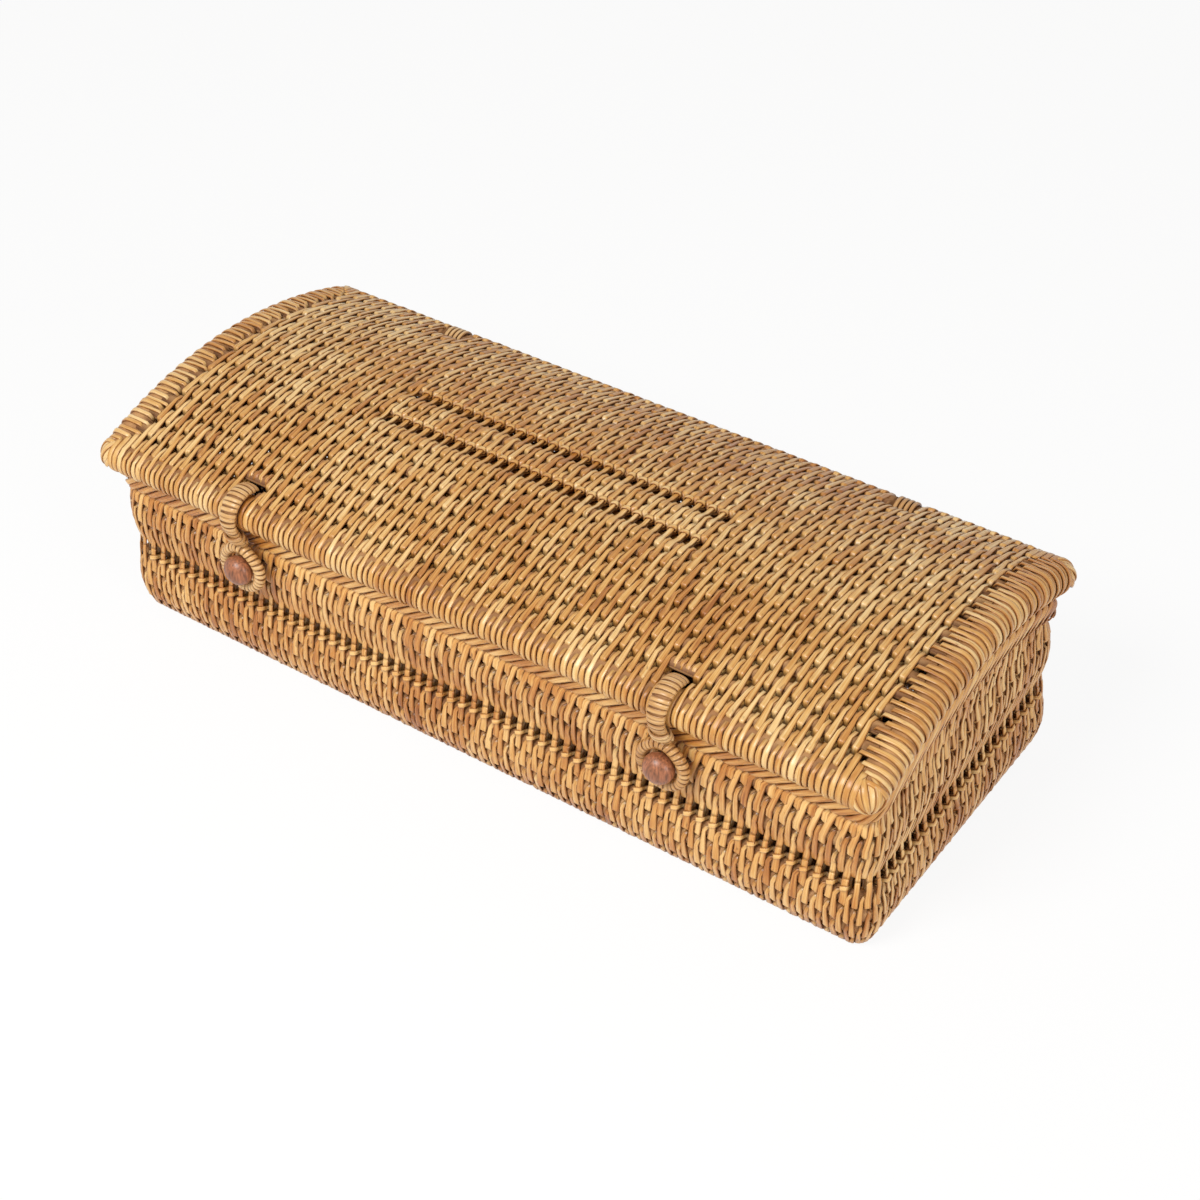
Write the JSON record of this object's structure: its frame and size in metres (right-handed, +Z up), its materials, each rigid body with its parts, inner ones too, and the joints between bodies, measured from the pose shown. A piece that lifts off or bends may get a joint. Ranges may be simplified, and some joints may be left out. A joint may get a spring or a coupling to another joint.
{
  "type": "rattan tea box",
  "caption": "Low rectangular woven rattan box with a hinged barrel lid, plaited rim, inner dividers and cane loops that hook over knobs on the front.",
  "frame": {"origin": "under the middle of the whole box, at the level it stands on", "axes": "+X along the box to its right, +Y from the closures to the hinges, +Z up"},
  "size_m": [0.38, 0.1678, 0.1052],
  "materials": {
    "wall_cane": "woven rattan cane, semi-gloss",
    "rim_cane": "plaited rattan cane, semi-gloss",
    "lid_cane": "woven rattan cane, semi-gloss",
    "wrapped_cane": "fine wrapped cane, semi-gloss",
    "knob_wood": "turned wood, stained brown, satin",
    "inner_cane": "woven rattan cane, dry"
  },
  "bodies": {
    "base": {"base_floor": "inner_cane", "front_wall": "wall_cane", "back_wall": "wall_cane", "left_wall": "wall_cane", "right_wall": "wall_cane", "corner_front_left": "wall_cane", "corner_front_right": "wall_cane", "corner_back_left": "wall_cane", "corner_back_right": "wall_cane", "rim_front": "rim_cane", "rim_back": "rim_cane", "rim_left": "rim_cane", "rim_right": "rim_cane", "divider_1": "inner_cane", "divider_2": "inner_cane", "divider_3": "inner_cane", "divider_4": "inner_cane", "hinge_lashing_left": "wrapped_cane", "hinge_lashing_right": "wrapped_cane", "left_knob": "knob_wood", "left_knob_tie": "wrapped_cane", "right_knob": "knob_wood", "right_knob_tie": "wrapped_cane"},
    "lid": {"lid_panel": "lid_cane", "lid_front_roll": "lid_cane", "lid_back_roll": "lid_cane", "lid_left_roll": "lid_cane", "lid_right_roll": "lid_cane"},
    "left_loop": {"left_loop_strap": "wrapped_cane", "left_loop_binding": "wrapped_cane", "left_loop_ring": "wrapped_cane"},
    "right_loop": {"right_loop_strap": "wrapped_cane", "right_loop_binding": "wrapped_cane", "right_loop_ring": "wrapped_cane"}
  },
  "joints": [
    {"name": "lid_hinge", "type": "hinge", "parent": "base", "child": "lid", "pos_m": [0, 0.07633, 0.083], "axis": [-1, 0, 0], "range_deg": [0, 110]},
    {"name": "left_loop_swing", "type": "hinge", "parent": "lid", "child": "left_loop", "pos_m": [-0.11, -0.07047, 0.083], "axis": [-1, 0, 0], "range_deg": [0, 95]},
    {"name": "right_loop_swing", "type": "hinge", "parent": "lid", "child": "right_loop", "pos_m": [0.1, -0.07047, 0.083], "axis": [-1, 0, 0], "range_deg": [0, 95]}
  ]
}
